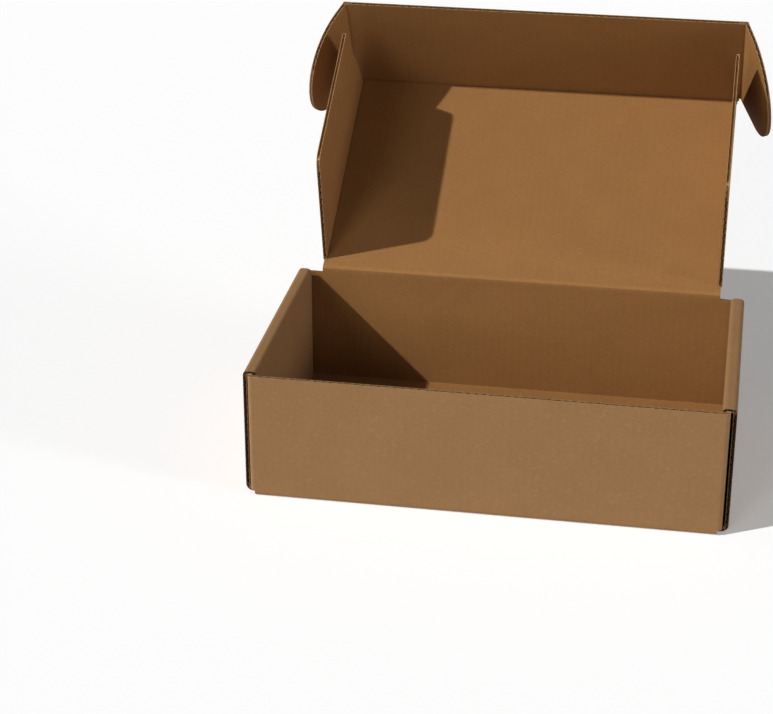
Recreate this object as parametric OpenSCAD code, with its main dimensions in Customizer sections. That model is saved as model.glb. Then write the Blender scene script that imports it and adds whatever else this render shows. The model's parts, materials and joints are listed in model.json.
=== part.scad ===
// Corrugated mailer box, folded from one die-cut sheet and standing open.
// X runs across the box, Y from the front wall to the back wall, Z up.
// The origin is the middle of the underside.
// The lid and its flaps are drawn shut, with the hinge crease as their own origin,
// and are then turned about that crease to the angle at which the lid rests.

/* [Tray] */
// Width over the two rolled side walls
box_w = 201.5; // [160:0.5:300]
// Depth over the front and back walls
box_d = 117; // [100:1:180]
// Height of the front wall
wall_h = 55.5; // [48:0.5:80]
// How far the rolled side walls stand above the front wall
side_rise = 0.5; // [0:0.1:1.5]
// How far the cut ends of the side walls stand back from the front and back faces
end_setback = 4; // [3:0.5:8]
// Reach of a corner flap along its side wall
flap_reach = 50; // [30:1:56]
// Radius of a corner flap's free corners
flap_round = 6; // [2:1:12]
// Height of a corner flap's lower edge above the ground
flap_lift = 2.4; // [2.4:0.1:5]

/* [Board] */
// Thickness of the corrugated board
board_t = 1.6; // [1.2:0.1:2]
// Inner radius of a folded corner
fold_r = 0.4; // [0.2:0.1:0.6]
// Inner radius of the softer fold at the foot of a side wall
foot_r = 1.6; // [0.6:0.1:1.8]
// Gap between a corner flap and the outer side wall
outer_gap = 1; // [0.2:0.1:2]
// Gap between layers of board that lie close together
layer_gap = 0.2; // [0.15:0.05:0.5]
// Gap between the two sides of a moving crease
crease_gap = 0.15; // [0.1:0.05:0.3]

/* [Lock tabs] */
// Width of a lock tab at the foot of an inner side wall
tab_w = 20; // [10:1:26]
// Distance of each lock tab's middle from the middle of the side
tab_y = 30; // [20:1:34]
// Gap all round a lock tab in its slot
slot_gap = 0.4; // [0.2:0.1:0.8]
// Chamfer on the two lower corners of a lock tab
tab_chamfer = 0.8; // [0.2:0.1:1]

/* [Lid] */
// Angle from shut at which the lid rests
lid_open = 149; // [90:1:190]
// Gap between the tuck flap and the front wall when the box is shut
tuck_gap = 0.3; // [0.2:0.1:1]
// Gap between the floor and the free edges of the tuck and dust flaps when shut
floor_gap = 0.5; // [0.3:0.1:3]
// How much narrower each end of the hinge is than the lid over its dust flaps
neck_inset = 0.5; // [0:0.1:2]
// Depth of the notch in the back wall beside the hinge, below the hinge crease
neck_drop = 2; // [1.8:0.1:4]
// Radius in the corner of that notch
neck_r = 1; // [0.5:0.1:1]

/* [Ears] */
// Reach of an ear from its fold
ear_reach = 37.5; // [25:1:50]
// Angle to which the ears are folded back from the tuck flap at rest
ear_fold = 69; // [30:1:88]
// Distance of the ear's inner edge from the tuck crease, at the ear's fold
ear_step = 2; // [1:0.1:8]
// Slope of the ear's inner edge
ear_taper = 8.5; // [2:1:15]
// Radius of the ear's tip
ear_tip_r = 19; // [4:1:22]
// Radius of the ear's outer curve
ear_curve_r = 32; // [12:1:36]
// Gap between a folded ear and the inner side wall
ear_gap = 1.4; // [1.4:0.1:4]

/* [Dust flaps] */
// Gap between a dust flap and the folded ear beside it
dust_gap = 1.3; // [1.3:0.1:3]
// Distance from the hinge crease to the start of the dust flap's fold
dust_start = 4.5; // [2:0.5:8]
// Distance from the tuck crease to the end of the dust flap's fold
dust_end = 2; // [2:0.5:12]
// Lean of the dust flap's edge beside the hinge
dust_lean = 17; // [5:1:30]
// Lean of the dust flap's edge beside the tuck flap, which clears it as it tucks in
dust_front_lean = 17; // [17:0.5:25]
// Radius of the dust flap's free corner beside the hinge
dust_round = 6; // [1:0.5:10]
// Radius of the dust flap's free corner beside the tuck flap
dust_front_round = 3; // [1:0.5:10]

/* [Flutes] */
// Length of one flute wave
flute_pitch = 3.3; // [3:0.1:4]
// Thickness of the paper liner on each side of the flutes
liner_t = 0.25; // [0.15:0.05:0.35]
// Half of the length over which a flute is glued to a liner
crest_half = 0.3; // [0.2:0.05:0.5]
// Depth to which the flutes are open at the cut edges
mouth_depth = 2; // [0.5:0.5:3]

/* [Hidden] */

// Smoothness of the folds
$fn = 48;
// Steps in a rounded corner of an outline
arc_steps = 10;
// Small length by which cutters pass a surface
over = 1;

// Outer radius of a folded corner
fold_out = fold_r + board_t;
// Half of the board's thickness, which is also the radius of a crease's bead
half_t = board_t / 2;
// Outer radius of the fold at the foot of a side wall
foot_out = foot_r + board_t;
// Top of the rolled side walls
side_top = wall_h + side_rise;
// Width of the rolled strip: outer wall, corner flap and inner wall side by side
strip_w = 3 * board_t + outer_gap + layer_gap;
// Half of the clear width between the inner side walls
inner_half = box_w / 2 - strip_w;
// Half of the width over the corner flaps, which is also the front wall's
flap_half = box_w / 2 - board_t - outer_gap;
// Half of the front wall's flat width between its end folds
front_half = flap_half - fold_out;
// Half of the length of the side walls
side_half = box_d / 2 - end_setback;
// Top of the corner flaps where the rolled strip covers them
flap_top = side_top - board_t - layer_gap;
// Foot of the inner side walls, just clear of the floor
foot_z = board_t + layer_gap;
// Tip of the lock tabs, just above the ground
tab_tip = layer_gap;

// Hinge crease of the lid, in the middle of the back wall's thickness
hinge_y = box_d / 2 - half_t;
hinge_z = wall_h;
// Height of the round top of the back wall below the hinge crease
hinge_seat = hinge_z - board_t - crease_gap;
// Distance from the hinge crease to the tuck crease
lid_l = box_d - 2 * board_t - tuck_gap;
// Depth of the tuck flap and the dust flaps, measured from the middle of the lid
flap_h = wall_h - board_t - floor_gap;
// Top of the back wall beside the hinge
neck_top = hinge_z - neck_drop;
// Place of the ear creases across the box
ear_x = inner_half - ear_gap - half_t;
// Outer face of the dust flaps, which is also the edge of the lid
dust_x = ear_x - half_t - dust_gap;
// Crease of a dust flap, on the inner faces of lid and flap
dust_crease_x = dust_x - board_t;
// Half of the hinge's length
neck_half = dust_x - neck_inset;
// Distance from one flute mouth to the next, which points the other way
mouth_step = flute_pitch / 2;
// Half of the width of a flute mouth
mouth_half = mouth_step - crest_half;
// Half of the height between the two liners
flute_half = half_t - liner_t;
// Distance of a flute mouth's point from the middle of the board
mouth_tip = flute_half - 0.1;
// Solid board left at the ends of a row of flute mouths
row_margin = 1;
// Half of the width of a flute mouth within a bend
bend_half = 0.6;
// Depth of the open flute along a dust flap's free edge
open_flute = 1.2;
// Part of the ear's reach at its tip that has no flute mouths
ear_margin = 4;
// Where the dust flap's fold ends, measured from the hinge crease
dust_stop = lid_l - dust_end;
// Distance of the ear's tip corner from the tuck crease
ear_shoulder = ear_step + ear_reach * tan(ear_taper);
// Radius of the ear's outer curve, where the flap's depth leaves room for it
ear_curve = min(ear_curve_r, ear_reach - half_t, flap_h - ear_shoulder - ear_tip_r * tan(45 - ear_taper / 2));

// Points of an outline whose corners are rounded.
// Each corner is [x, y, radius], and the corners run anticlockwise.
function unit(v) = v / norm(v);
function corner_points(before, here, after) =
    let (
        p = [here[0], here[1]],
        a = unit([before[0], before[1]] - p),
        b = unit([after[0], after[1]] - p),
        opening = acos(a * b),
        tangent = here[2] / tan(opening / 2),
        centre = p + unit(a + b) * here[2] / sin(opening / 2),
        first = p + a * tangent - centre,
        turn = 180 - opening
    )
    here[2] == 0 ? [p] : [
        for (i = [0 : arc_steps])
            let (w = turn * i / arc_steps)
            centre + [first[0] * cos(w) - first[1] * sin(w), first[0] * sin(w) + first[1] * cos(w)]
    ];
function rounded(corners) = [
    for (i = [0 : len(corners) - 1])
        each corner_points(
            corners[(i + len(corners) - 1) % len(corners)],
            corners[i],
            corners[(i + 1) % len(corners)]
        )
];

// Section of a right-angled fold about the origin, in the quarter where x and y are positive
module fold_section(inner_r = fold_r) {
    intersection() {
        difference() {
            circle(r = inner_r + board_t);
            circle(r = inner_r);
        }
        square(inner_r + board_t);
    }
}

// Stands a drawing of Y and Z up and gives it a width along X
module along_x(from, to) {
    translate([from, 0, 0])
    rotate([90, 0, 90])
    linear_extrude(height = to - from)
    children();
}

// Stands a drawing of X and Z up and gives it a length along Y
module along_y(from, to) {
    translate([0, to, 0])
    rotate([90, 0, 0])
    linear_extrude(height = to - from)
    children();
}

// Mouth of a flute in a cut edge drawn along X, pointing to one face or, if i is odd, the other
module flute_mouth(i) {
    way = 1 - 2 * (i % 2);
    polygon([
        [-mouth_half, way * flute_half],
        [0, -way * mouth_tip],
        [mouth_half, way * flute_half]
    ]);
}

// Row of flute mouths along X, for a board with its middle on the X axis
module flute_mouths(from, to) {
    count = floor((to - from) / mouth_step);
    start = (from + to - (count - 1) * mouth_step) / 2;
    for (i = [0 : count - 1])
        translate([start + i * mouth_step, 0])
        flute_mouth(i);
}

// Mouth of a flute in a bend about the middle of the drawing, towards the given direction
module bend_mouth(inner_r, direction) {
    rotate(direction)
    translate([inner_r + half_t, 0])
    polygon([
        [flute_half, bend_half],
        [-mouth_tip, 0],
        [flute_half, -bend_half]
    ]);
}

// Turns what is drawn about the hinge crease, with the lid shut, to the lid's rest angle
module at_lid() {
    translate([0, hinge_y, hinge_z])
    rotate([-lid_open, 0, 0])
    children();
}

// Half of the section through floor and front wall, from the middle of the box
module front_section(top) {
    translate([-(box_d / 2 - fold_out), 0])
    square([box_d / 2 - fold_out, board_t]);
    translate([-(box_d / 2 - fold_out), fold_out])
    rotate(180)
    fold_section();
    translate([-box_d / 2, fold_out])
    square([board_t, top - fold_out]);
}

// Floor with the front and back walls folded up from it
module floor_and_walls() {
    along_x(-front_half, front_half)
    front_section(wall_h);
    mirror([0, 1, 0]) {
        along_x(-front_half, front_half)
        front_section(neck_top);
        along_x(-neck_half, neck_half) {
            translate([-box_d / 2, fold_out])
            square([board_t, hinge_seat - fold_out]);
            translate([-hinge_y, hinge_seat])
            circle(r = half_t);
        }
    }
    neck_fillets();
}

// Rounded corners of the two notches beside the hinge
module neck_fillets() {
    for (side = [0, 1])
        mirror([side, 0, 0])
        along_y(box_d / 2 - board_t, box_d / 2)
        translate([neck_half, neck_top])
        difference() {
            square(neck_r);
            translate([neck_r, neck_r])
            circle(r = neck_r);
        }
}

// Section of a rolled side wall: floor, outer wall, top strip and inner wall
module side_section() {
    translate([inner_half - over, 0])
    square([box_w / 2 - foot_out - inner_half + over, board_t]);
    translate([box_w / 2 - foot_out, foot_out])
    rotate(-90)
    fold_section(foot_r);
    translate([box_w / 2 - board_t, foot_out])
    square([board_t, side_top - fold_out - foot_out]);
    translate([box_w / 2 - fold_out, side_top - fold_out])
    fold_section();
    translate([inner_half + fold_out, side_top - board_t])
    square([strip_w - 2 * fold_out, board_t]);
    translate([inner_half + fold_out, side_top - fold_out])
    rotate(90)
    fold_section();
    translate([inner_half, foot_z])
    square([board_t, side_top - fold_out - foot_z]);
}

// Flute mouths in the top of the front wall and of the back wall beside the hinge
module wall_mouths() {
    translate([0, -hinge_y, wall_h - mouth_depth])
    linear_extrude(height = mouth_depth + over)
    flute_mouths(-front_half + row_margin, front_half - row_margin);
    for (side = [0, 1])
        mirror([side, 0, 0])
        translate([0, hinge_y, neck_top - mouth_depth])
        linear_extrude(height = mouth_depth + over)
        flute_mouths(neck_half + neck_r, front_half);
}

// Flute mouths in the front end of the right-hand rolled side wall
module side_mouths() {
    along_y(-side_half - over, -side_half + mouth_depth) {
        translate([box_w / 2 - half_t, 0])
        rotate(90)
        flute_mouths(foot_out, side_top - fold_out);
        translate([inner_half + half_t, 0])
        rotate(90)
        flute_mouths(foot_z + row_margin, side_top - fold_out);
        translate([0, side_top - half_t])
        flute_mouths(inner_half + fold_out, box_w / 2 - fold_out);
        translate([box_w / 2 - fold_out, side_top - fold_out])
        bend_mouth(fold_r, 45);
        translate([inner_half + fold_out, side_top - fold_out])
        bend_mouth(fold_r, 135);
        for (direction = [-67.5, -22.5])
            translate([box_w / 2 - foot_out, foot_out])
            bend_mouth(foot_r, direction);
    }
}

// Lock tab in the drawing of Y and Z
module tab_outline() {
    polygon([
        [-tab_w / 2, foot_z + over],
        [-tab_w / 2, tab_tip + tab_chamfer],
        [-tab_w / 2 + tab_chamfer, tab_tip],
        [tab_w / 2 - tab_chamfer, tab_tip],
        [tab_w / 2, tab_tip + tab_chamfer],
        [tab_w / 2, foot_z + over]
    ]);
}

// Slots in the floor for the lock tabs of the right-hand side
module tab_slots() {
    for (y = [-tab_y, tab_y])
        translate([inner_half - slot_gap, y - tab_w / 2 - slot_gap, -over])
        cube([board_t + 2 * slot_gap, tab_w + 2 * slot_gap, board_t + 2 * over]);
}

// Lock tabs of the right-hand side
module lock_tabs() {
    for (y = [-tab_y, tab_y])
        translate([0, y, 0])
        along_x(inner_half, inner_half + board_t)
        tab_outline();
}

// Corner flap at the right-hand end of the front wall, with the fold that joins it on.
// It is as high as its wall, apart from where the rolled strip comes over it.
module corner_flap(wall_top) {
    flap_start = -box_d / 2 + fold_out;
    flap_end = -box_d / 2 + flap_reach;
    drop_at = -side_half - layer_gap;
    translate([front_half, flap_start, flap_lift])
    rotate(-90)
    linear_extrude(height = wall_top - flap_lift)
    fold_section();
    along_x(flap_half - board_t, flap_half)
    polygon(rounded([
        [flap_start, flap_lift, 0],
        [flap_end, flap_lift, flap_round],
        [flap_end, flap_top, flap_round],
        [drop_at, flap_top, 0],
        [drop_at - half_t, wall_top, 0],
        [flap_start, wall_top, 0]
    ]));
}

// Whole folded base: floor, front and back walls, corner flaps and rolled side walls
module tray() {
    color("#967548")
    union() {
        difference() {
            union() {
                floor_and_walls();
                for (side = [0, 1])
                    mirror([side, 0, 0])
                    along_y(-side_half, side_half)
                    side_section();
            }
            for (side = [0, 1])
                mirror([side, 0, 0]) {
                    tab_slots();
                    side_mouths();
                    mirror([0, 1, 0])
                    side_mouths();
                }
            wall_mouths();
        }
        for (side = [0, 1])
            mirror([side, 0, 0]) {
                lock_tabs();
                corner_flap(wall_h);
                mirror([0, 1, 0])
                corner_flap(neck_top);
            }
    }
}

// Section along the lid between two distances from the hinge crease
module lid_section(from, to) {
    translate([-to, -half_t])
    square([to - from, board_t]);
}

// Lid between its hinge and the tuck crease, with round fold edges for the dust flaps
module lid_panel() {
    front_edge = lid_l - board_t - crease_gap;
    color("#936a3e")
    at_lid() {
        along_x(-dust_crease_x, dust_crease_x) {
            circle(r = half_t);
            lid_section(0, front_edge);
            translate([-front_edge, 0])
            circle(r = half_t);
        }
        for (side = [0, 1])
            mirror([side, 0, 0]) {
                along_x(dust_crease_x, neck_half) {
                    circle(r = half_t);
                    lid_section(0, dust_start);
                }
                along_x(dust_crease_x, dust_x) {
                    lid_section(dust_stop, front_edge);
                    translate([-front_edge, 0])
                    circle(r = half_t);
                }
                along_y(-dust_stop, -dust_start)
                translate([dust_crease_x, -half_t])
                intersection() {
                    circle(r = board_t);
                    square(board_t);
                }
            }
    }
}

// Tuck flap, with its crease at the lid and round ends for the ears
module tuck_flap() {
    end_x = ear_x - board_t - crease_gap;
    color("#967548")
    at_lid()
    translate([0, -lid_l, 0]) {
        rotate([0, 90, 0])
        cylinder(r = half_t, h = 2 * end_x, center = true);
        difference() {
            translate([-end_x, -half_t, -flap_h])
            cube([2 * end_x, board_t, flap_h]);
            translate([0, 0, -flap_h - over])
            linear_extrude(height = mouth_depth + over)
            flute_mouths(-end_x + row_margin, end_x - row_margin);
        }
        for (side = [-1, 1])
            translate([side * end_x, 0, -flap_h])
            cylinder(r = half_t, h = flap_h);
    }
}

// Ear at the right-hand end of the tuck flap, folded back to its rest angle
module ear() {
    at_lid()
    translate([ear_x, -lid_l, 0])
    rotate([0, 0, ear_fold]) {
        translate([0, 0, -flap_h])
        cylinder(r = half_t, h = flap_h - ear_step);
        difference() {
            along_y(-half_t, half_t)
            polygon(rounded([
                [0, -flap_h, 0],
                [ear_reach, -flap_h, ear_curve],
                [ear_reach, -ear_shoulder, ear_tip_r],
                [0, -ear_step, 0]
            ]));
            ear_mouths();
        }
    }
}

// Flute mouths in the ear's two edges, as far as they cross the flutes
module ear_mouths() {
    curve_start = ear_reach - ear_curve;
    for (i = [0 : floor((ear_reach - ear_margin - row_margin) / mouth_step) - 1]) {
        x = row_margin + (i + 0.5) * mouth_step;
        curve_x = max(0, x - curve_start);
        curve_z = sqrt(ear_curve * ear_curve - curve_x * curve_x);
        drop = mouth_half * curve_x / curve_z + over;
        translate([x, 0, ear_curve - flap_h - curve_z - drop])
        linear_extrude(height = mouth_depth + 2 * drop)
        flute_mouth(i);
    }
    for (i = [0 : floor((ear_reach - ear_tip_r - row_margin) / mouth_step) - 1]) {
        x = row_margin + (i + 0.5) * mouth_step;
        translate([x, 0, -ear_step - x * tan(ear_taper) - mouth_depth])
        linear_extrude(height = mouth_depth + over)
        flute_mouth(i);
    }
}

// Left ear of the tuck flap
module left_ear() {
    color("#8c6a40")
    mirror([1, 0, 0])
    ear();
}

// Right ear of the tuck flap
module right_ear() {
    color("#8c6a40")
    ear();
}

// Dust flap at the right-hand side of the lid, square to it
module dust_flap() {
    top = -half_t - crease_gap;
    knee = dust_start + (flap_h + top) * tan(dust_lean);
    tip = dust_stop - (flap_h + top) * tan(dust_front_lean);
    at_lid()
    difference() {
        along_x(dust_crease_x, dust_x)
        polygon(rounded([
            [-tip, -flap_h, dust_front_round],
            [-knee, -flap_h, dust_round],
            [-dust_start, top, 0],
            [-dust_stop, top, 0]
        ]));
        dust_mouths(top);
        translate([dust_x - half_t - flute_half, -tip - row_margin, -flap_h - over])
        cube([2 * flute_half, tip - knee + 2 * row_margin, open_flute + over]);
    }
}

// Flute mouths in the two slanted ends of the right-hand dust flap, below its fold
module dust_mouths(top) {
    count = floor((flap_h + top - dust_round - row_margin) / mouth_step);
    for (i = [0 : count - 1]) {
        depth = row_margin + (i + 0.5) * mouth_step;
        near = dust_start + depth * tan(dust_lean);
        far = dust_stop - depth * tan(dust_front_lean);
        for (span = [[-near - mouth_depth, -near + over], [-far - over, -far + mouth_depth]])
            along_y(span[0], span[1])
            translate([dust_x - half_t, top - depth])
            rotate(90)
            flute_mouth(i);
    }
}

// Left dust flap of the lid
module left_dust_flap() {
    color("#8f6c41")
    mirror([1, 0, 0])
    dust_flap();
}

// Right dust flap of the lid
module right_dust_flap() {
    color("#8f6c41")
    dust_flap();
}

tray();
lid_panel();
tuck_flap();
left_ear();
right_ear();
left_dust_flap();
right_dust_flap();
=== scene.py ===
# %% [markdown]
# # A corrugated mailer box, standing open
# The box is one die-cut sheet of brown corrugated board, folded and locked without glue.
# Its boards come ready-made from the CAD model, so this lesson gives them their paper,
# adds the skin of paper that runs over each moving fold, and sets up the studio.

# %% Load the CAD frame
import json
import math

import bpy
from mathutils import Matrix, Vector


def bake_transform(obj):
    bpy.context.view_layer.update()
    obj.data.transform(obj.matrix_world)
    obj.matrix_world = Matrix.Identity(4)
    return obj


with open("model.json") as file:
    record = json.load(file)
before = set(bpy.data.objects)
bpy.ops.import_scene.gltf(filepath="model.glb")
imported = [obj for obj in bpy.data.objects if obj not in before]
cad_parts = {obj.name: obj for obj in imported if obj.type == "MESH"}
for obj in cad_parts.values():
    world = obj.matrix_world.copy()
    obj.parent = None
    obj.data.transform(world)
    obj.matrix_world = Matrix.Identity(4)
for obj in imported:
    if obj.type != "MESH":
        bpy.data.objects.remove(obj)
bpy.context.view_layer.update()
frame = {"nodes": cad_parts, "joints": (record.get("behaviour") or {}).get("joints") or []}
bpy.ops.object.select_all(action="DESELECT")
print("CAD nodes:", sorted(frame["nodes"]))

# %% [markdown]
# ## Where the folds are
# Every moving fold is a joint of the model. Each joint gives a point on its crease and the
# crease's direction, so no fold has to be placed by hand. The lid is turned 149 degrees from
# shut, which is the angle between the lid's own directions and those of the box.

# %% Board sizes and fold places
mm = 0.001
board = 1.6 * mm
half_board = board / 2
crease_gap = 0.15 * mm
width = 201.5 * mm
depth = 117 * mm
wall_height = 55.5 * mm
side_top = 56 * mm
inner_half = 94.75 * mm
flap_height = 53.4 * mm
ear_angle = math.radians(69)
dust_lean = math.radians(17)
joints = {joint["name"]: joint for joint in frame["joints"]}
hinge = Vector(joints["lid_hinge"]["pos_m"])
tuck_crease = Vector(joints["tuck_fold"]["pos_m"])
ear_crease = Vector(joints["right_ear_fold"]["pos_m"])
dust_crease = Vector(joints["right_dust_flap_fold"]["pos_m"])
lid_length = (tuck_crease - hinge).length
lid_edge = dust_crease.x + board
across = Vector((1, 0, 0))
along_lid = (tuck_crease - hinge).normalized()
into_lid = across.cross(along_lid)
print("lid length:", round(lid_length / mm, 2), "mm")
print("its inner side faces", [round(v, 3) for v in into_lid])

# %% [markdown]
# ## Kraft paper as a node group
# Kraft liner is plain brown paper, very even in colour: only faint cloudy patches, fine fibres
# a little lighter or darker than the sheet, and the ribs of the flutes just showing through.
# A photograph could be wrapped round the box instead, but a pattern made from noise in the
# object's own coordinates has no seams and can be set for each panel. All boards share it,
# so it is built once as a group with named inputs and outputs.

# %% Helpers for node trees
def add_node(tree, kind, place, **settings):
    node = tree.nodes.new(kind)
    node.location = place
    for name, value in settings.items():
        setattr(node, name, value)
    return node


def feed(tree, socket, value):
    if isinstance(value, (int, float, tuple)):
        socket.default_value = value
    else:
        tree.links.new(value, socket)


def math_node(tree, operation, *values, place=(0, 0)):
    node = add_node(tree, "ShaderNodeMath", place, operation=operation)
    for socket, value in zip(node.inputs, values):
        feed(tree, socket, value)
    return node.outputs[0]


def soft_step(tree, value, low, high, place):
    node = add_node(tree, "ShaderNodeMapRange", place, interpolation_type="SMOOTHSTEP")
    tree.links.new(value, node.inputs["Value"])
    node.inputs["From Min"].default_value = low
    node.inputs["From Max"].default_value = high
    return node.outputs["Result"]


def new_group(name, inputs, outputs):
    group = bpy.data.node_groups.new(name, "ShaderNodeTree")
    for socket_name, kind in inputs:
        group.interface.new_socket(name=socket_name, in_out="INPUT", socket_type=kind)
    for socket_name, kind in outputs:
        group.interface.new_socket(name=socket_name, in_out="OUTPUT", socket_type=kind)
    entry = add_node(group, "NodeGroupInput", (-1200, 0))
    leave = add_node(group, "NodeGroupOutput", (900, 0))
    return group, entry, leave


def mix_colours(tree, factor, first, second, blend="MIX", place=(0, 0)):
    node = add_node(tree, "ShaderNodeMix", place, data_type="RGBA", blend_type=blend)
    for socket_number, value in ((0, factor), (6, first), (7, second)):
        feed(tree, node.inputs[socket_number], value)
    return node.outputs[2]


def linear(red, green, blue):
    shades = [value / 255 for value in (red, green, blue)]
    return (*(c / 12.92 if c < 0.04045 else ((c + 0.055) / 1.055) ** 2.4 for c in shades), 1.0)


print("helpers ready")

# %% The kraft paper group
flute_pitch = 3.3 * mm
cloud_scale = 60
kraft, entry, leave = new_group(
    "kraft liner",
    [("Vector", "NodeSocketVector"), ("Across", "NodeSocketFloat"), ("Paper", "NodeSocketColor")],
    [("Color", "NodeSocketColor"), ("Roughness", "NodeSocketFloat"), ("Height", "NodeSocketFloat")],
)
clouds = add_node(kraft, "ShaderNodeTexNoise", (-900, 300))
clouds.inputs["Scale"].default_value = cloud_scale
clouds.inputs["Detail"].default_value = 5
clouds.inputs["Roughness"].default_value = 0.62
kraft.links.new(entry.outputs["Vector"], clouds.inputs["Vector"])
cloud_shade = soft_step(kraft, clouds.outputs["Fac"], 0.3, 0.7, (-650, 300))
print("clouds about", round(1000 / cloud_scale), "mm across")

# %% [markdown]
# Fibres are noise that is squeezed along one direction, so that its grains become short
# strokes. Two sets at right angles and one of round specks look like pulp from any side,
# and a threshold keeps only the strongest strokes of each.

# %% Fibres in the paper
fibre_turn = (0.3, 0.2, 0.5)


def fibres(stretch, scale, low, high, place):
    squeeze = add_node(kraft, "ShaderNodeMapping", place)
    squeeze.inputs["Scale"].default_value = stretch
    squeeze.inputs["Rotation"].default_value = fibre_turn
    grain = add_node(kraft, "ShaderNodeTexNoise", (place[0] + 200, place[1]))
    grain.inputs["Scale"].default_value = scale
    grain.inputs["Detail"].default_value = 2
    kraft.links.new(entry.outputs["Vector"], squeeze.inputs["Vector"])
    kraft.links.new(squeeze.outputs["Vector"], grain.inputs["Vector"])
    return soft_step(kraft, grain.outputs["Fac"], low, high, (place[0] + 400, place[1]))


dark_fibres = fibres((1.0, 0.3, 1.0), 1900, 0.56, 0.72, (-1000, 0))
pale_fibres = fibres((0.3, 1.0, 0.4), 1700, 0.56, 0.72, (-1000, -300))
pulp = fibres((1.0, 1.0, 1.0), 900, 0.3, 0.7, (-1000, -600))
print("three sets of fibres")

# %% Ribs of the flutes, and the group's outputs
dark_cloud, pale_cloud = (0.955, 0.95, 0.94, 1), (1.03, 1.03, 1.03, 1)
rib_tint = (0.985, 0.985, 0.98, 1)
grains = (
    (pulp, 0.35, (0.93, 0.92, 0.90, 1)),
    (dark_fibres, 0.34, (0.70, 0.66, 0.60, 1)),
    (pale_fibres, 0.30, (1.30, 1.32, 1.36, 1)),
)
across_flutes = entry.outputs["Across"]
turns = math_node(kraft, "MULTIPLY", across_flutes, 2 * math.pi / flute_pitch, place=(-900, -900))
ribs = math_node(kraft, "SINE", turns, place=(-700, -900))
shade = mix_colours(kraft, cloud_shade, dark_cloud, pale_cloud, place=(-300, 300))
for step, (mask, amount, tint) in enumerate(grains):
    share = math_node(kraft, "MULTIPLY", mask, amount, place=(-300, 100 - 150 * step))
    shade = mix_colours(kraft, share, shade, tint, place=(-150 + 150 * step, 250))
on_rib = math_node(kraft, "MULTIPLY_ADD", ribs, 0.5, 0.5, place=(-300, -800))
rib_shade = mix_colours(kraft, 1.0, shade, rib_tint, "MULTIPLY", (150, -100))
shade = mix_colours(kraft, on_rib, shade, rib_shade, place=(400, 200))
paper = mix_colours(kraft, 1.0, entry.outputs["Paper"], shade, "MULTIPLY", (600, 200))
kraft.links.new(paper, leave.inputs["Color"])
rough = math_node(kraft, "MULTIPLY_ADD", pulp, 0.12, 0.78, place=(600, -100))
kraft.links.new(rough, leave.inputs["Roughness"])
height = math_node(kraft, "MULTIPLY_ADD", ribs, 0.35, pulp, place=(300, -500))
height = math_node(kraft, "MULTIPLY_ADD", dark_fibres, -0.5, height, place=(600, -500))
kraft.links.new(height, leave.inputs["Height"])
print("kraft liner group:", len(kraft.nodes), "nodes")

# %% [markdown]
# ## Painted light at the folds
# Each fold was first pressed into the flat sheet. A painted highlight makes its outside a little
# paler and a painted shade line darkens its inside. A group that turns the distance from a fold
# into a tint gives every board and every fold the same line, broken up by noise.

# %% The group that paints highlight and shade along the folds
painted_shading, entry, leave = new_group(
    "pressed fold",
    [("Vector", "NodeSocketVector"), ("Distance", "NodeSocketFloat"),
     ("Inside", "NodeSocketFloat")],
    [("Color", "NodeSocketColor")],
)
break_up = add_node(painted_shading, "ShaderNodeTexNoise", (-900, 200))
break_up.inputs["Scale"].default_value = 260
break_up.inputs["Detail"].default_value = 4
painted_shading.links.new(entry.outputs["Vector"], break_up.inputs["Vector"])
wander_width = 2.4 * mm
# painted highlight along a fold's outside, painted shade line along its inside
painted_highlight_tint, painted_shade_tint = (1.13, 1.14, 1.16, 1), (0.84, 0.83, 0.81, 1)
plain_tint = (1, 1, 1, 1)
wander = math_node(painted_shading, "MULTIPLY_ADD", break_up.outputs["Fac"], wander_width,
                   -wander_width / 2, place=(-700, 200))
from_fold = math_node(painted_shading, "ADD", entry.outputs["Distance"], wander, place=(-500, 100))
far = soft_step(painted_shading, from_fold, 0.3 * mm, 2.0 * mm, (-300, 100))
inside_line = soft_step(painted_shading, entry.outputs["Distance"], 0.25 * mm, 0.9 * mm, (-300, -200))
highlight_side = mix_colours(painted_shading, far, painted_highlight_tint, plain_tint, place=(0, 200))
shade_side = mix_colours(painted_shading, inside_line, painted_shade_tint, plain_tint, place=(0, -100))
painted_fold_light = mix_colours(painted_shading, entry.outputs["Inside"], highlight_side, shade_side, place=(400, 100))
painted_shading.links.new(painted_fold_light, leave.inputs["Color"])
print("pressed fold group:", len(painted_shading.nodes), "nodes")

# %% [markdown]
# ## Each panel's own directions
# Flutes run one way in the flat sheet, so they turn with every fold: up the walls, along the
# lid, across the flaps. A Mapping node turns the object's coordinates into a panel's own:
# first across the flutes, then along them, then through the board, positive on the inside.

# %% Panel directions as Mapping settings
ear_side, ear_back = across * math.cos(ear_angle), along_lid * math.sin(ear_angle)
ear_way = {side: (side * ear_side - ear_back).normalized() for side in (-1, 1)}


def panel_mapping(origin, first, second):
    turn = Matrix((first, second, first.cross(second)))
    return tuple(turn.to_euler()), tuple(-(turn @ origin))


def mirrored(point):
    return Vector((-point.x, point.y, point.z))


dust_middle = dust_crease + across * half_board
panels = {
    "lid_panel": panel_mapping(hinge, across, along_lid),
    "tuck_flap": panel_mapping(tuck_crease, across, into_lid),
    "right_ear": panel_mapping(ear_crease, ear_way[1], into_lid),
    "left_ear": panel_mapping(mirrored(ear_crease), -ear_way[-1], into_lid),
    "right_dust_flap": panel_mapping(dust_middle, into_lid, along_lid),
    "left_dust_flap": panel_mapping(mirrored(dust_middle), -into_lid, along_lid),
}
print("panels:", list(panels))

# %% [markdown]
# ## The cut edges
# Where the die cut the sheet, the edge shows two pale torn liners with the darker fluted
# layer between them. On a flap, everything closer to the middle of the board than its two
# paper faces is such an edge, so the distance through the board is enough to find it.

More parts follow.
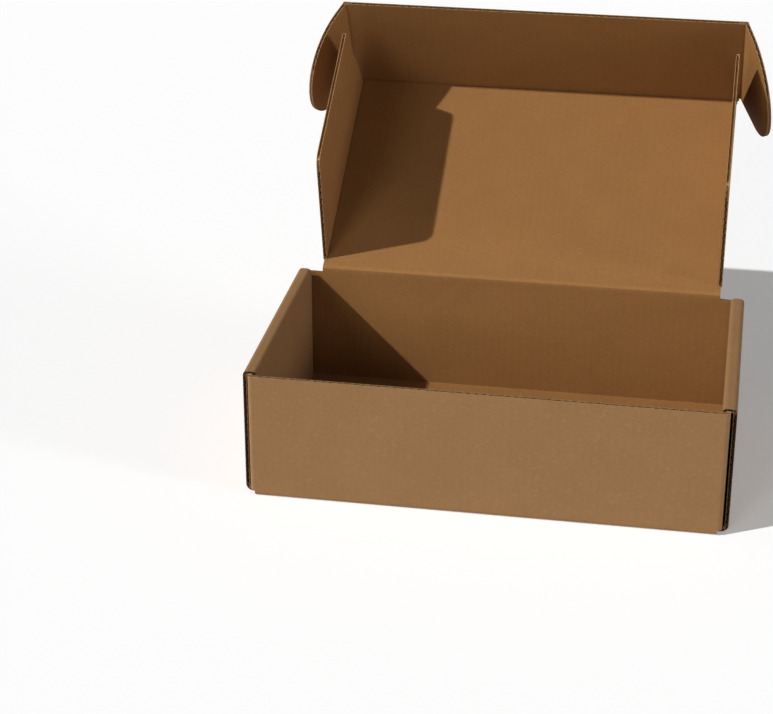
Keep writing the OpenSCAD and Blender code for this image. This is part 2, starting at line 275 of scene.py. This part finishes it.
# %% The cut edge group
flute_half = 0.55 * mm
skin = 0.03 * mm
in_board = half_board - skin
shaded_fluff, lit_fluff = (0.68, 0.66, 0.62, 1), (1.2, 1.18, 1.15, 1)
cut_edge, entry, leave = new_group(
    "cut edge",
    [("Vector", "NodeSocketVector"), ("Through", "NodeSocketFloat"),
     ("Liner", "NodeSocketColor"), ("Flute", "NodeSocketColor")],
    [("Color", "NodeSocketColor"), ("Mask", "NodeSocketFloat")],
)
fluff = add_node(cut_edge, "ShaderNodeTexNoise", (-900, 200))
fluff.inputs["Scale"].default_value = 1500
fluff.inputs["Detail"].default_value = 3
cut_edge.links.new(entry.outputs["Vector"], fluff.inputs["Vector"])
fluff_shade = soft_step(cut_edge, fluff.outputs["Fac"], 0.35, 0.65, (-650, 200))
fluff_tint = mix_colours(cut_edge, fluff_shade, shaded_fluff, lit_fluff, place=(-300, 200))
off_middle = math_node(cut_edge, "ABSOLUTE", entry.outputs["Through"], place=(-900, -200))
in_liner = soft_step(cut_edge, off_middle, flute_half - 0.08 * mm, flute_half + 0.05 * mm,
                     (-600, -100))
torn = mix_colours(cut_edge, in_liner, entry.outputs["Flute"], entry.outputs["Liner"],
                   place=(-100, 0))
torn = mix_colours(cut_edge, 1.0, torn, fluff_tint, "MULTIPLY", (300, 200))
cut_edge.links.new(torn, leave.inputs["Color"])
inner_part = math_node(cut_edge, "LESS_THAN", off_middle, in_board, place=(-600, -300))
cut_edge.links.new(inner_part, leave.inputs["Mask"])
print("cut edge group:", len(cut_edge.nodes), "nodes")

# %% Colours of the paper
outside_paper = linear(142, 106, 69)
inside_paper = linear(145, 102, 57)
liner_edge = linear(165, 130, 88)
flute_edge = linear(108, 80, 50)
# painted shade: darker liner and flute colours for the side walls' cut ends, set back in the shade
# of the end walls
painted_shade_end_liner = linear(116, 90, 62)
painted_shade_end_flute = linear(58, 43, 28)
# painted light: a paler flute colour that lifts the shade in the groove along the dust flaps' free
# edges
painted_light_groove_flute = linear(176, 136, 90)
print("outside, inside and edge colours set")

# %% [markdown]
# ## From groups to materials
# A material places the kraft group and the cut edge group, and joins them in one Principled
# shader. Plain numbers, such as a low specular level for uncoated paper, are set on the
# shader itself.

# %% Building one board material
def start_material(name, attribute=None):
    material = bpy.data.materials.new(name)
    material.use_nodes = True
    tree = material.node_tree
    shader = tree.nodes["Principled BSDF"]
    shader.inputs["Specular IOR Level"].default_value = 0.25
    if attribute:
        source = add_node(tree, "ShaderNodeAttribute", (-1800, 0), attribute_name=attribute)
        return material, tree, shader, source.outputs["Vector"]
    source = add_node(tree, "ShaderNodeTexCoord", (-1800, 0))
    return material, tree, shader, source.outputs["Object"]


def use_group(tree, group, place, **values):
    node = add_node(tree, "ShaderNodeGroup", place, node_tree=group)
    for name, value in values.items():
        feed(tree, node.inputs[name], value)
    return node


# painted_fold_light multiplies the painted highlight and shade of the folds into the paper
def paper_shader(tree, shader, position, flute_way, paper, painted_fold_light, edge_mask, edge_colour):
    sheet = use_group(tree, kraft, (-500, 200), Vector=position, Across=flute_way, Paper=paper)
    colour = mix_colours(tree, 1.0, sheet.outputs["Color"], painted_fold_light, "MULTIPLY", (-350, 350))
    colour = mix_colours(tree, edge_mask, colour, edge_colour, place=(-200, 300))
    tree.links.new(colour, shader.inputs["Base Color"])
    tree.links.new(sheet.outputs["Roughness"], shader.inputs["Roughness"])
    bump = add_node(tree, "ShaderNodeBump", (-200, -200))
    bump.inputs["Strength"].default_value = 0.35
    bump.inputs["Distance"].default_value = 0.06 * mm
    tree.links.new(sheet.outputs["Height"], bump.inputs["Height"])
    tree.links.new(bump.outputs["Normal"], shader.inputs["Normal"])


def panel_position(tree, position, mapping):
    node = add_node(tree, "ShaderNodeMapping", (-1500, -300))
    node.inputs["Rotation"].default_value = mapping[0]
    node.inputs["Location"].default_value = mapping[1]
    tree.links.new(position, node.inputs["Vector"])
    parts = add_node(tree, "ShaderNodeSeparateXYZ", (-1300, -300))
    tree.links.new(node.outputs["Vector"], parts.inputs["Vector"])
    return parts.outputs["X"], parts.outputs["Y"], parts.outputs["Z"]


print("material helpers ready")

# %% [markdown]
# The distance from the folds, which places their painted highlight and shade, is measured in
# each panel's own directions: the lid has folds on all four sides, and each flap has one along its
# root.

# %% Distance from the folds of each board
def fold_distance(tree, node_name, flute_way, along, is_inside):
    if "ear" in node_name or "dust" in node_name:
        return math_node(tree, "ABSOLUTE", flute_way, place=(-1100, -500))
    root = math_node(tree, "ABSOLUTE", along, place=(-1200, -500))
    side, step_in = (lid_edge, board) if node_name == "lid_panel" else (ear_crease.x, 0.0)
    side = math_node(tree, "MULTIPLY_ADD", is_inside, -step_in, side, place=(-1300, -600))
    from_middle = math_node(tree, "ABSOLUTE", flute_way, place=(-1200, -600))
    to_side = math_node(tree, "SUBTRACT", side, from_middle, place=(-1150, -600))
    to_side = math_node(tree, "ABSOLUTE", to_side, place=(-1100, -600))
    nearest = math_node(tree, "MINIMUM", root, to_side, place=(-1000, -500))
    if node_name == "lid_panel":
        to_tuck = math_node(tree, "SUBTRACT", lid_length, along, place=(-1100, -700))
        nearest = math_node(tree, "MINIMUM", nearest, to_tuck, place=(-900, -500))
    return nearest


print("fold distances ready")

# %% Boards of the lid and its flaps
mouth_row = 2.2 * mm
for node_name, mapping in panels.items():
    material, tree, shader, position = start_material(node_name + "_board")
    flute_way, along, through = panel_position(tree, position, mapping)
    is_inside = soft_step(tree, through, -0.5 * mm, 0.5 * mm, (-1100, 300))
    paper = mix_colours(tree, is_inside, outside_paper, inside_paper, place=(-800, 300))
    # painted highlight and shade along this board's folds
    fold = use_group(tree, painted_shading, (-800, 100), Vector=position, Inside=is_inside,
                     Distance=fold_distance(tree, node_name, flute_way, along, is_inside))
    flute = flute_edge
    # the groove along a dust flap's free edge runs along a flute; its paler colour is painted light
    # lifting the groove's shade
    if "dust" in node_name:
        from_fold = math_node(tree, "ABSOLUTE", flute_way, place=(-1250, -900))
        free_edge = math_node(tree, "GREATER_THAN", from_fold, flap_height - mouth_row,
                              place=(-1100, -900))
        flute = mix_colours(tree, free_edge, flute_edge, painted_light_groove_flute, place=(-1000, -900))
    edge = use_group(tree, cut_edge, (-800, -100), Vector=position, Through=through,
                     Liner=liner_edge, Flute=flute)
    paper_shader(tree, shader, position, flute_way, paper, fold.outputs["Color"],
                 edge.outputs["Mask"], edge.outputs["Color"])
    frame["nodes"][node_name].data.materials.clear()
    frame["nodes"][node_name].data.materials.append(material)
print("boards finished:", len(panels))

# %% [markdown]
# ## The tray's board
# In the tray one sheet turns many corners, so the place in the box says which side of the
# paper shows: the floor and the insides of the front and back walls are the sheet's inside,
# and the side walls, which roll over and back down, show its outside on both faces.

# %% Places in the tray
material, tree, shader, position = start_material("tray_board")
parts = add_node(tree, "ShaderNodeSeparateXYZ", (-1600, -300))
tree.links.new(position, parts.inputs["Vector"])
up = parts.outputs["Z"]
side_place = math_node(tree, "ABSOLUTE", parts.outputs["X"], place=(-1400, 0))
end_place = math_node(tree, "ABSOLUTE", parts.outputs["Y"], place=(-1400, -200))


def above(value, limit):
    return math_node(tree, "GREATER_THAN", value, limit, place=(-1200, 0))


def below(value, limit):
    return math_node(tree, "LESS_THAN", value, limit, place=(-1200, -200))


def near(value, level, tolerance):
    return math_node(tree, "COMPARE", value, level, tolerance, place=(-1200, -400))


def both(first, second):
    return math_node(tree, "MULTIPLY", first, second, place=(-1000, -200))


def either(first, second):
    return math_node(tree, "MAXIMUM", first, second, place=(-900, -200))


print("places in the tray ready")

# %% Inside and outside paper of the tray
inner_face_depth = 1.2 * mm
wall_slack = 0.05 * mm
in_side_wall = above(side_place, inner_half - wall_slack)
not_side = math_node(tree, "SUBTRACT", 1.0, in_side_wall, place=(-1000, 0))
in_tray = both(below(end_place, depth / 2 - inner_face_depth), above(up, inner_face_depth))
inner_faces = both(not_side, in_tray)
paper = mix_colours(tree, inner_faces, outside_paper, inside_paper, place=(-700, 300))
wall_way = both(up, in_side_wall)
flute_way = math_node(tree, "MULTIPLY_ADD", parts.outputs["X"], not_side, wall_way,
                      place=(-800, -600))
print("tray faces sorted into inside and outside paper")

# %% [markdown]
# The tray's cut edges lie at known places: the front wall's top, the notches beside the
# hinge, and the ends of the rolled side walls. The open flutes reach 2 mm down into them,
# so whatever lies within a board's thickness near such an edge is finished as edge too.

# %% Places of the tray's edges and folds
side_end = 54.5 * mm
notch_height = 53.5 * mm
notch_start = 91 * mm
foot_height = 3.2 * mm
fold_radius = 2 * mm
flap_face = 98.15 * mm
corner = (flap_face - fold_radius, depth / 2 - fold_radius)
wall_middle = (depth - board) / 2
outer_middle = (width - board) / 2
inner_middle = inner_half + half_board
strip_middle, strip_half = (outer_middle + inner_middle) / 2, 1 * mm
thin = 0.06 * mm
mouth_depth = 2.1 * mm
print("side walls end", round(side_end / mm, 1), "mm from the middle of the box")

# %% Cut edges of the tray
at_front = below(parts.outputs["Y"], 0.0)
at_notch = both(above(parts.outputs["Y"], 0.0), above(side_place, notch_start))
wall_rim = both(at_front, near(up, wall_height, thin))
notch_rim = both(at_notch, near(up, notch_height, thin))
flat_top = both(above(end_place, side_end + thin), either(wall_rim, notch_rim))
in_end_wall = both(near(end_place, wall_middle, in_board), below(side_place, corner[0]))
below_rim = both(at_front, above(up, wall_height - mouth_depth))
below_notch = both(at_notch, above(up, notch_height - mouth_depth))
top_mouths = both(in_end_wall, either(below_rim, below_notch))
flat_end = both(in_side_wall, near(end_place, side_end, thin / 2))
in_outer, in_inner = (near(side_place, middle, in_board) for middle in (outer_middle, inner_middle))
between_folds = both(below(up, side_top - fold_radius), above(up, foot_height))
in_walls = both(either(in_outer, in_inner), between_folds)
in_strip = both(near(up, side_top - half_board, in_board),
                near(side_place, strip_middle, strip_half))
behind_end = near(end_place, side_end - mouth_depth / 2, mouth_depth / 2)
end_mouths = both(either(in_walls, in_strip), behind_end)
cut = either(either(flat_top, top_mouths), either(flat_end, end_mouths))
print("cut edges of the tray found")

# %% [markdown]
# How deep a point lies in the board tells its liners from its flutes. In the side walls it is
# measured from the middle of the nearest layer, in the front and back walls from theirs, and
# round their corners from a circle. The painted highlights along the folds follow from the distance
# to each fold.

# %% Distance through the tray's boards
def subtract(first, second):
    return math_node(tree, "SUBTRACT", first, second, place=(-1300, -700))


def away(value, level):
    return math_node(tree, "ABSOLUTE", subtract(value, level), place=(-1200, -700))


def nearer(first, second):
    return math_node(tree, "MINIMUM", first, second, place=(-1100, -700))


def edge_distance(first, second):
    offset = add_node(tree, "ShaderNodeCombineXYZ", (-1200, -900))
    tree.links.new(first, offset.inputs["X"])
    tree.links.new(second, offset.inputs["Y"])
    length = add_node(tree, "ShaderNodeVectorMath", (-1100, -900), operation="LENGTH")
    tree.links.new(offset.outputs["Vector"], length.inputs[0])
    return length.outputs["Value"]


def switch(mask, when_off, when_on, place):
    return math_node(tree, "MULTIPLY_ADD", mask, subtract(when_on, when_off), when_off, place=place)


through_walls = nearer(away(side_place, outer_middle), away(side_place, inner_middle))
through_sides = nearer(through_walls, away(up, side_top - half_board))
from_corner = edge_distance(subtract(side_place, corner[0]), subtract(end_place, corner[1]))
in_corner = both(above(side_place, corner[0]), above(end_place, corner[1]))
through_ends = switch(in_corner, away(end_place, wall_middle),
                      away(from_corner, fold_radius - half_board), (-900, -900))
beyond_sides = above(end_place, side_end + thin)
through = switch(beyond_sides, through_sides, through_ends, (-900, -700))
print("distance through the tray's boards ready")

# %% Distance from the tray's folds
from_side, from_end = away(side_place, width / 2), away(end_place, depth / 2)
from_top, from_flap = away(up, side_top), away(side_place, flap_face)
floor_folds = nearer(edge_distance(from_side, up), edge_distance(from_end, up))
wall_folds = nearer(edge_distance(from_side, from_top), edge_distance(from_flap, from_end))
folds = nearer(floor_folds, wall_folds)
print("distance from the tray's folds ready")

# %% Board of the tray
# the side walls' cut ends take the painted-shade edge colours, the end walls' edges the plain ones
liner_colour = mix_colours(tree, beyond_sides, painted_shade_end_liner, liner_edge, place=(-1000, -1100))
flute_colour = mix_colours(tree, beyond_sides, painted_shade_end_flute, flute_edge, place=(-1000, -1300))
edge = use_group(tree, cut_edge, (-800, -300), Vector=position, Through=through,
                 Liner=liner_colour, Flute=flute_colour)
# painted highlight along the tray's folds
fold = use_group(tree, painted_shading, (-800, 100), Vector=position, Distance=folds, Inside=0.0)
paper_shader(tree, shader, position, flute_way, paper, fold.outputs["Color"],
             cut, edge.outputs["Color"])
frame["nodes"]["tray"].data.materials.clear()
frame["nodes"]["tray"].data.materials.append(material)
print("tray finished:", len(tree.nodes), "nodes")

# %% [markdown]
# ## The board in the moving folds
# In the CAD model each moving fold is a hinge with a narrow gap, but the real sheet runs on
# through it. A short band of board bridges each gap: it starts as a plane on the middle of
# the first board, is extruded along the second one, gets the board's thickness, and has its
# outer corner rounded. Its material reads its points' places from an attribute that is
# filled before any bending.

# %% Keeping each band's points' places for its pattern
def keep_place(piece):
    places = piece.data.attributes.new("flat_place", "FLOAT_VECTOR", "POINT")
    numbers = [value for vertex in piece.data.vertices for value in vertex.co]
    places.data.foreach_set("vector", numbers)


print("each band keeps its points' places as the attribute flat_place")


# %% Helpers for shaping a band
cover = 0.03 * mm
band_half = half_board + cover
tiny = 0.01 * mm
smooth_angle = math.radians(35)
corner_steps = 8


def pick(piece, test):
    mesh = piece.data
    for vertex in mesh.vertices:
        vertex.select = test(vertex.co)
    for edge_line in mesh.edges:
        edge_line.select = all(mesh.vertices[i].select for i in edge_line.vertices)
    for face in mesh.polygons:
        face.select = all(mesh.vertices[i].select for i in face.vertices)


def strip_plane(name, pivot, axis, low, high, way, reach):
    bpy.ops.object.select_all(action="DESELECT")
    turn = Matrix((axis, way, axis.cross(way))).transposed()
    middle = pivot + axis * (low + high) / 2 + way * reach / 2
    bpy.ops.mesh.primitive_plane_add(size=1, location=middle, rotation=turn.to_euler())
    strip = bpy.context.active_object
    strip.name = name
    strip.scale = (high - low, reach, 1)
    bpy.ops.object.transform_apply(location=True, rotation=True, scale=True)
    return strip


print("band helpers ready")


# %% Modelling one band
def fold_band(name, pivot, axis, span, ways, reaches, rows):
    first, second = ways
    band = strip_plane(name, pivot, axis, span[0], span[1], first, reaches[0])
    pick(band, lambda co: (co - pivot).dot(first) < tiny)
    bpy.ops.object.mode_set(mode="EDIT")
    bpy.ops.mesh.extrude_region_move(TRANSFORM_OT_translate={"value": second * reaches[1]})
    bpy.ops.object.mode_set(mode="OBJECT")
    wall = band.modifiers.new("board", "SOLIDIFY")
    wall.thickness = 2 * band_half
    wall.offset = 0
    wall.use_even_offset = True
    bpy.ops.object.modifier_apply(modifier=wall.name)
    bend = (first + second).normalized()
    half_angle = first.angle(second) / 2
    tip = band_half / math.sin(half_angle)
    pick(band, lambda co: -(co - pivot).dot(bend) > 0.98 * tip)
    bpy.ops.object.mode_set(mode="EDIT")
    bpy.ops.mesh.bevel(offset=band_half / math.tan(half_angle), segments=corner_steps,
                       affect="EDGES")
    for way in ways:
        for row in rows:
            bpy.ops.mesh.select_all(action="SELECT")
            bpy.ops.mesh.bisect(plane_co=pivot + way * row, plane_no=way)
    bpy.ops.mesh.select_all(action="SELECT")
    bpy.ops.mesh.normals_make_consistent(inside=False)
    bpy.ops.object.mode_set(mode="OBJECT")
    bpy.ops.object.shade_smooth_by_angle(angle=smooth_angle)
    return band


print("bands start as planes and end", round(2 * band_half / mm, 2), "mm thick")


# %% Material of one band
def band_material(name, pivot, axis, span, ways, hollow_paper, bulge_paper):
    material, tree, shader, position = start_material(name, "flat_place")
    first, second = ways

    def dot(offset, direction, place):
        node = add_node(tree, "ShaderNodeVectorMath", place, operation="DOT_PRODUCT")
        tree.links.new(offset, node.inputs[0])
        node.inputs[1].default_value = direction
        return node.outputs["Value"]

    shift = add_node(tree, "ShaderNodeVectorMath", (-1600, -300), operation="SUBTRACT")
    tree.links.new(position, shift.inputs[0])
    shift.inputs[1].default_value = pivot
    offset = shift.outputs["Vector"]
    over_first = dot(offset, (second - first * second.dot(first)).normalized(), (-1400, 0))
    over_second = dot(offset, (first - second * first.dot(second)).normalized(), (-1400, -200))
    least = math_node(tree, "MINIMUM", over_first, over_second, place=(-1200, 0))
    in_hollow = math_node(tree, "GREATER_THAN", least, 0.0, place=(-1000, 0))
    paper = mix_colours(tree, in_hollow, bulge_paper, hollow_paper, place=(-800, 300))
    along = dot(offset, (second - first).normalized(), (-1400, -400))
    # painted highlight on the band's bulge, painted shade line in its hollow
    fold = use_group(tree, painted_shading, (-800, 100), Vector=position, Inside=in_hollow,
                     Distance=math_node(tree, "ABSOLUTE", along, place=(-1200, -400)))
    through_first = math_node(tree, "ABSOLUTE", over_first, place=(-1200, -200))
    through_second = math_node(tree, "ABSOLUTE", over_second, place=(-1200, -300))
    through = math_node(tree, "MINIMUM", through_first, through_second, place=(-1000, -200))
    edge = use_group(tree, cut_edge, (-800, -100), Vector=position, Through=through,
                     Liner=liner_edge, Flute=flute_edge)
    lengthwise = dot(offset, axis, (-1400, -600))
    off_middle = math_node(tree, "SUBTRACT", lengthwise, sum(span) / 2, place=(-1200, -600))
    off_middle = math_node(tree, "ABSOLUTE", off_middle, place=(-1100, -600))
    at_end = math_node(tree, "GREATER_THAN", off_middle, (span[1] - span[0]) / 2 - tiny,
                       place=(-1000, -600))
    paper_shader(tree, shader, position, lengthwise, paper, fold.outputs["Color"],
                 at_end, edge.outputs["Color"])
    return material


print("band material ready")

# %% [markdown]
# The hinge band opens by 149 degrees, so its hollow side gets extra rows of points, and its
# bend is held close to the crease. The tuck flap's band and the ears' bands turn far less.

# %% Building one band with its material
def add_band(name, pivot, axis, span, ways, reaches, papers, rows=()):
    band = fold_band(name, pivot, axis, span, ways, reaches, rows)
    keep_place(band)
    band.data.materials.append(band_material(name, pivot, axis, span, ways, *papers))
    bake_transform(band)
    print(name, len(band.data.polygons), "faces")


# %% Bands of the hinge, the tuck flap and the ears
down = Vector((0, 0, -1))
hinge_half = lid_edge - 0.5 * mm + cover
tuck_half = ear_crease.x - board - crease_gap
hinge_rows = [0.5 * mm + 0.1 * mm * step for step in range(6)]
add_band("hinge_fold", hinge, across, span=(-hinge_half, hinge_half), ways=(down, along_lid),
         reaches=(3 * mm, 3 * mm),
         papers=(outside_paper, inside_paper), rows=hinge_rows)
add_band("tuck_fold_board", tuck_crease, across, span=(-tuck_half, tuck_half),
         ways=(-along_lid, into_lid), reaches=(1.9 * mm, 3 * mm),
         papers=(inside_paper, outside_paper))
for side, label in ((1, "right"), (-1, "left")):
    crease = ear_crease if side == 1 else mirrored(ear_crease)
    add_band(label + "_ear_fold_board", crease, into_lid, span=(2.1 * mm, flap_height + cover),
             ways=(-side * across, ear_way[side]), reaches=(2.6 * mm, 0.45 * mm),
             papers=(inside_paper, outside_paper))

# %% [markdown]
# A dust flap turns about its inner face instead, so only its outer liner has to stretch: a
# strip of paper lies on the lid, is spun round the crease by a quarter turn, and runs on
# down the flap. Its lower corners follow the flap's slanted ends.

# %% Modelling the outer liner of a dust flap's fold
liner_radius = board + cover
liner_reach = 2.5 * mm
paper_thickness = 0.12 * mm
spin_steps = 10
slant = math.tan(dust_lean) * (liner_reach - crease_gap)


def fold_liner(name, crease, side, span):
    liner = strip_plane(name, crease - into_lid * liner_radius, along_lid, span[0], span[1],
                        -side * across, liner_reach)
    pick(liner, lambda co: side * (co - crease).dot(across) > -tiny)
    bpy.ops.object.mode_set(mode="EDIT")
    bpy.ops.mesh.spin(steps=spin_steps, angle=side * math.pi / 2, center=crease, axis=along_lid)
    bpy.ops.mesh.extrude_region_move(TRANSFORM_OT_translate={"value": into_lid * liner_reach})
    for end, shift in ((span[0], slant), (span[1], -slant)):
        bpy.ops.object.mode_set(mode="OBJECT")
        pick(liner, lambda co: (co - crease).dot(into_lid) > 0.9 * liner_reach
             and abs((co - crease).dot(along_lid) - end) < tiny)
        bpy.ops.object.mode_set(mode="EDIT")
        bpy.ops.transform.translate(value=along_lid * shift)
    bpy.ops.mesh.select_all(action="SELECT")
    bpy.ops.mesh.remove_doubles(threshold=tiny / 10)
    bpy.ops.mesh.normals_make_consistent(inside=False)
    bpy.ops.object.mode_set(mode="OBJECT")
    outwards = sum(face.normal.dot(face.center - crease) for face in liner.data.polygons)
    paper_wall = liner.modifiers.new("paper", "SOLIDIFY")
    paper_wall.thickness = paper_thickness
    paper_wall.offset = -1 if outwards > 0 else 1
    bpy.ops.object.modifier_apply(modifier=paper_wall.name)
    bpy.ops.object.mode_set(mode="EDIT")
    bpy.ops.mesh.select_all(action="SELECT")
    bpy.ops.mesh.normals_make_consistent(inside=False)
    bpy.ops.object.mode_set(mode="OBJECT")
    bpy.ops.object.shade_smooth_by_angle(angle=smooth_angle)
    return liner


print("liner radius", round(liner_radius / mm, 2), "mm")

# %% Outer liners of the dust flaps
fold_start, fold_stop = 4.5 * mm, 111.5 * mm
dust_span = (fold_start - lid_length / 2, fold_stop - lid_length / 2)
for side, label in ((1, "right"), (-1, "left")):
    crease = dust_crease if side == 1 else mirrored(dust_crease)
    name = label + "_dust_fold_liner"
    liner = fold_liner(name, crease, side, dust_span)
    ways = (-side * across, into_lid)
    keep_place(liner)
    liner.data.materials.append(
        band_material(name, crease, along_lid, dust_span, ways, inside_paper, outside_paper))
    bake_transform(liner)
    furthest = max(side * vertex.co.x for vertex in liner.data.vertices) - dust_crease.x
    print(name, len(liner.data.polygons), "faces, out by", round(furthest / mm, 2), "mm")

# %% [markdown]
# ## The floor, the light and the camera
# A plain pale floor catches the shadow. The light is a key lamp from the left, broad weak ones
# from the front and the right, and an even white world, together at a level where a colour
# renders about as it is written. The camera stands where the photograph was taken.

# %% Floor
floor_size, floor_gap, floor_shade, floor_glow = 8, 0.02 * mm, 0.9, 0.2
bpy.ops.mesh.primitive_grid_add(x_subdivisions=4, y_subdivisions=4, size=floor_size,
                                location=(0, 0, -floor_gap))
floor = bpy.context.active_object
floor.name = "studio_floor"
bpy.ops.object.transform_apply(location=True, rotation=True, scale=True)
floor_material = bpy.data.materials.new("floor_paper")
floor_material.use_nodes = True
tree = floor_material.node_tree
shader = tree.nodes["Principled BSDF"]
shader.inputs["Base Color"].default_value = (floor_shade, floor_shade, floor_shade, 1)
shader.inputs["Roughness"].default_value = 0.9
shader.inputs["Specular IOR Level"].default_value = 0.1
rays = add_node(tree, "ShaderNodeLightPath", (-600, 0))
seen = math_node(tree, "MAXIMUM", rays.outputs["Is Camera Ray"], rays.outputs["Is Glossy Ray"],
                 place=(-400, 0))
glow = math_node(tree, "MULTIPLY", seen, floor_glow, place=(-200, 0))
shader.inputs["Emission Color"].default_value = (1, 1, 1, 1)
tree.links.new(glow, shader.inputs["Emission Strength"])
floor.data.materials.append(floor_material)
print("floor", tuple(floor.dimensions))


# %% Lamps and world
def add_sun(name, towards, strength, softness):
    lamp = bpy.data.lights.new(name, "SUN")
    lamp.energy = strength
    lamp.angle = math.radians(softness)
    holder = bpy.data.objects.new(name, lamp)
    holder.rotation_mode = "QUATERNION"
    holder.rotation_quaternion = Vector(towards).to_track_quat("-Z", "Y")
    bpy.context.scene.collection.objects.link(holder)


add_sun("key_light", towards=(1.022, 0.565, -1.0), strength=3.15, softness=1.2)
add_sun("front_light", towards=(0.35, 0.9, -0.3), strength=0.6, softness=20)
add_sun("right_light", towards=(-1.0, 0.25, -0.2), strength=0.85, softness=12)
world_light = 0.1
world = bpy.context.scene.world or bpy.data.worlds.new("studio")
bpy.context.scene.world = world
world.use_nodes = True
tree = world.node_tree
tree.nodes.clear()
rays = add_node(tree, "ShaderNodeLightPath", (-600, 200))
seen = math_node(tree, "MAXIMUM", rays.outputs["Is Camera Ray"], rays.outputs["Is Glossy Ray"],
                 place=(-400, 200))
seen = math_node(tree, "MAXIMUM", seen, rays.outputs["Is Transmission Ray"], place=(-200, 200))
background = add_node(tree, "ShaderNodeBackground", (200, 0))
background.inputs["Color"].default_value = (1, 1, 1, 1)
brightness = math_node(tree, "MULTIPLY_ADD", seen, 1 - world_light, world_light, place=(0, 200))
tree.links.new(brightness, background.inputs["Strength"])
surround = add_node(tree, "ShaderNodeOutputWorld", (400, 0))
tree.links.new(background.outputs["Background"], surround.inputs["Surface"])
print("three lamps and a white world")

# %% Camera
azimuth, elevation, distance = 0.1752, 0.4478, 0.9195014
target = Vector((-0.0502992, 0, 0.0407446))
focal_pixels, photo_pixels, sensor_width = 2122.425, 773, 36
level = Vector((math.sin(azimuth), -math.cos(azimuth), 0))
back = level * math.cos(elevation) + Vector((0, 0, math.sin(elevation)))
camera_data = bpy.data.cameras.new("camera")
camera_data.lens = focal_pixels / photo_pixels * sensor_width
camera_data.sensor_width = sensor_width
camera = bpy.data.objects.new("camera", camera_data)
camera.location = target + back * distance
camera.rotation_mode = "QUATERNION"
camera.rotation_quaternion = (-back).to_track_quat("-Z", "Y")
bpy.context.scene.collection.objects.link(camera)
bpy.context.scene.camera = camera
bpy.context.scene.view_settings.view_transform = "Standard"
print("camera at", tuple(round(v, 4) for v in camera.location), "lens", round(camera_data.lens, 2))
